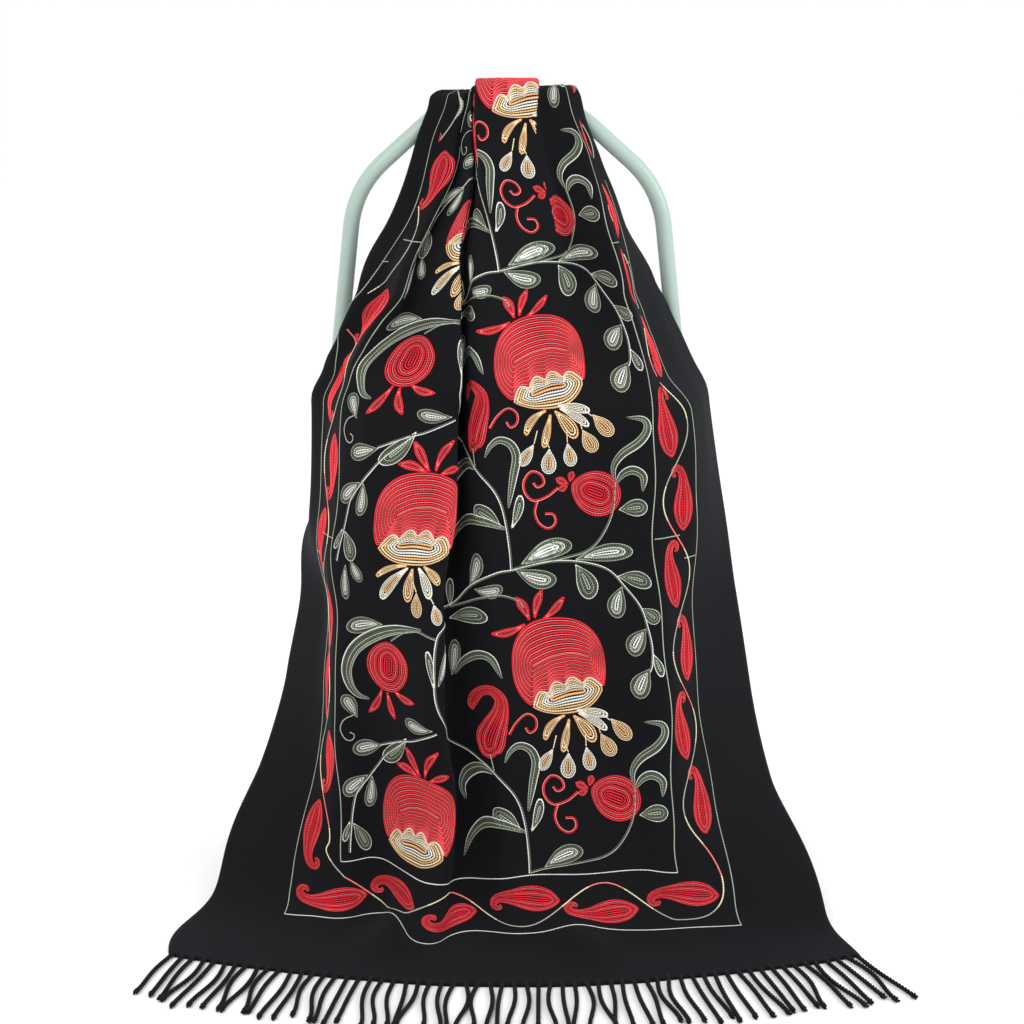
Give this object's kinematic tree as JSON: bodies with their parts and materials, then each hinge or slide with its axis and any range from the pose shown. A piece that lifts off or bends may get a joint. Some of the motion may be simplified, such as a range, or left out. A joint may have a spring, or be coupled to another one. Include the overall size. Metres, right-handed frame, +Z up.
{
  "type": "embroidered shawl on a tube-frame stand",
  "caption": "Black fringed wool shawl with chain-stitch pomegranates and leaves, gathered over the hoop of a mint tube-frame step stand and falling to the floor.",
  "frame": {"origin": "centre of the bounding box on the floor", "axes": "+Z up, +X across the shawl to the viewer's right, the embroidered front faces -Y"},
  "size_m": [0.7736, 0.6958, 0.8656],
  "materials": {
    "wool": "matt black fine wool twill with chain-stitch embroidery",
    "fringe_yarn": "matt black twisted wool yarn",
    "frame_paint": "satin mint paint",
    "tread_paint": "satin mint paint",
    "foot_rubber": "matt"
  },
  "bodies": {
    "root": {"shawl_cloth": "wool", "fringe_front": "fringe_yarn", "fringe_back": "fringe_yarn", "hoop": "frame_paint", "front_legs": "frame_paint", "side_rail_left": "frame_paint", "side_rail_right": "frame_paint", "tread": "tread_paint", "foot_rear_left": "foot_rubber", "foot_rear_right": "foot_rubber", "foot_front_left": "foot_rubber", "foot_front_right": "foot_rubber"}
  },
  "joints": []
}
